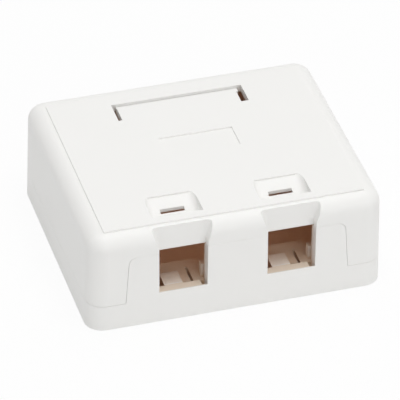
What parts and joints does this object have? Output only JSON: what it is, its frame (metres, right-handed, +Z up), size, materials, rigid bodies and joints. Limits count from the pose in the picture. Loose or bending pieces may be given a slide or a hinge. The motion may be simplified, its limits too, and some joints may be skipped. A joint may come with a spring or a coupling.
{
  "type": "surface mount jack box",
  "caption": "Low white plastic box for a wall or skirting, with open keystone jack ports in its front face under a lift-off cover.",
  "frame": {"origin": "middle of the underside's bounding rectangle, on the mounting surface", "axes": "+X to the right of someone facing the ports, +Y away from them towards the back, +Z up off the mounting surface"},
  "size_m": [0.0914, 0.077, 0.0329],
  "materials": {
    "base_plastic": "fine satin, moulded",
    "cover_plastic": "fine satin, moulded",
    "foam": "matt closed-cell foam"
  },
  "bodies": {
    "base_unit": {"base": "base_plastic", "foam_pad_left": "foam", "foam_pad_right": "foam"},
    "cover_unit": {"cover": "cover_plastic"}
  },
  "joints": [
    {"name": "cover_lift", "type": "slide", "parent": "base_unit", "child": "cover_unit", "axis": [0, 0, 1], "range_m": [0, 0.03]}
  ]
}
